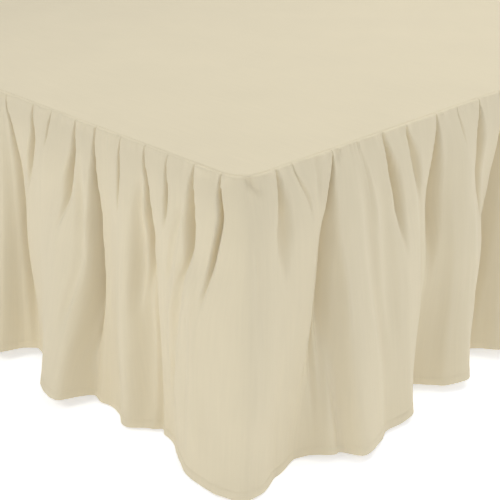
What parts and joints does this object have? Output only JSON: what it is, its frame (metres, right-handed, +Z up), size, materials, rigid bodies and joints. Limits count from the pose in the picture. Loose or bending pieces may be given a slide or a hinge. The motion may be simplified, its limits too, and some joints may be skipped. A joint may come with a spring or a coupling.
{
  "type": "bed skirt on a bed base",
  "caption": "Gathered bed skirt: a flat platform sheet with a frilled ruffle down both sides and round the foot, on a plain double bed base.",
  "frame": {"origin": "on the floor, under the middle of the whole skirt's box", "axes": "+X across the bed, +Y along it towards the head, +Z up; the skirt hangs from both long sides and the foot end at -Y"},
  "size_m": [1.5601, 2.0056, 0.409],
  "materials": {
    "cream_cotton": "matte plain-weave cream poly-cotton",
    "base_ticking": "matte woven upholstery",
    "black_plastic": "satin moulded"
  },
  "bodies": {
    "root": {"platform_sheet": "cream_cotton", "ruffle_side_left": "cream_cotton", "ruffle_corner_left": "cream_cotton", "ruffle_corner_right": "cream_cotton", "ruffle_side_right": "cream_cotton", "bed_base": "base_ticking", "foot_1": "black_plastic", "foot_2": "black_plastic", "foot_3": "black_plastic", "foot_4": "black_plastic", "foot_5": "black_plastic", "foot_6": "black_plastic"}
  },
  "joints": []
}
